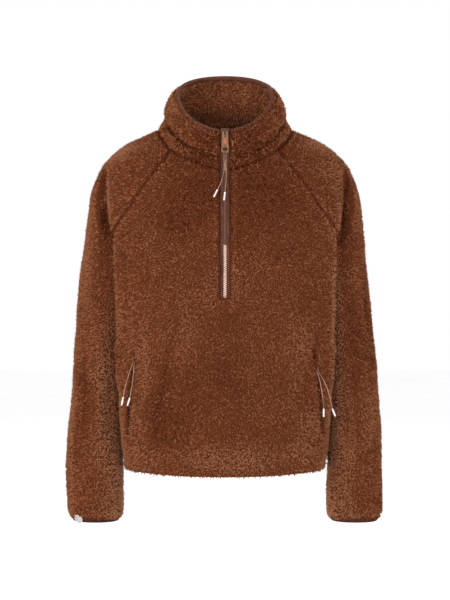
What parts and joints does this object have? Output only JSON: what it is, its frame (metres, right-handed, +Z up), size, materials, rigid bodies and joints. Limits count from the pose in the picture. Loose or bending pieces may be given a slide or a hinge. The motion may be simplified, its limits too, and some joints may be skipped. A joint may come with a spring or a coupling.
{
  "type": "half-zip fleece pullover",
  "caption": "Long-sleeved pile-fleece pullover with a tall stand collar, a half-length front zip with a cord pull, and zipped side pockets, in its filled-out shape.",
  "frame": {"origin": "centre of the neck on a level with the base of the collar at the shoulders, where a wearer's neck and shoulders hold the garment", "axes": "+Z up, -Y towards the front with the zip, +X towards the wearer's left arm"},
  "size_m": [0.532, 0.2488, 0.7677],
  "materials": {
    "fleece": "matte",
    "binding": "matte",
    "cuff_binding": "matte",
    "tape": "matte",
    "teeth": "satin",
    "brass": "satin",
    "cord": "matte",
    "tip": "satin",
    "label": "matte"
  },
  "bodies": {
    "garment": {"front": "fleece", "back": "fleece", "sleeve_left": "fleece", "sleeve_right": "fleece", "collar": "fleece", "collar_binding": "binding", "cuff_left_binding": "cuff_binding", "cuff_right_binding": "cuff_binding", "zip_tape_left": "tape", "zip_tape_right": "tape", "zip_teeth": "teeth", "pocket_zip_left": "teeth", "pocket_zip_right": "teeth", "zip_stop": "brass", "slider": "brass", "pocket_slider_left": "brass", "pocket_slider_right": "brass", "pocket_cord_left_a": "cord", "pocket_cord_left_a_tip": "tip", "pocket_cord_left_b": "cord", "pocket_cord_left_b_tip": "tip", "pocket_cord_right_a": "cord", "pocket_cord_right_a_tip": "tip", "pocket_cord_right_b": "cord", "pocket_cord_right_b_tip": "tip", "cuff_label": "label"},
    "tab": {"pull_tab": "brass"},
    "cords": {"pull_cord_a": "cord", "pull_cord_a_tip": "tip", "pull_cord_b": "cord", "pull_cord_b_tip": "tip"}
  },
  "joints": [
    {"name": "pull_tab_swing", "type": "hinge", "parent": "garment", "child": "tab", "pos_m": [0, -0.10135, -0.02068], "axis": [-1, 0, 0], "range_deg": [0, 135]},
    {"name": "pull_cord_swing", "type": "hinge", "parent": "tab", "child": "cords", "pos_m": [0, -0.11419, -0.05345], "axis": [-1, 0, 0], "range_deg": [-135, 0]}
  ],
  "couplings": [
    {"joint": "pull_cord_swing", "follows": "pull_tab_swing", "ratio": -1}
  ]
}
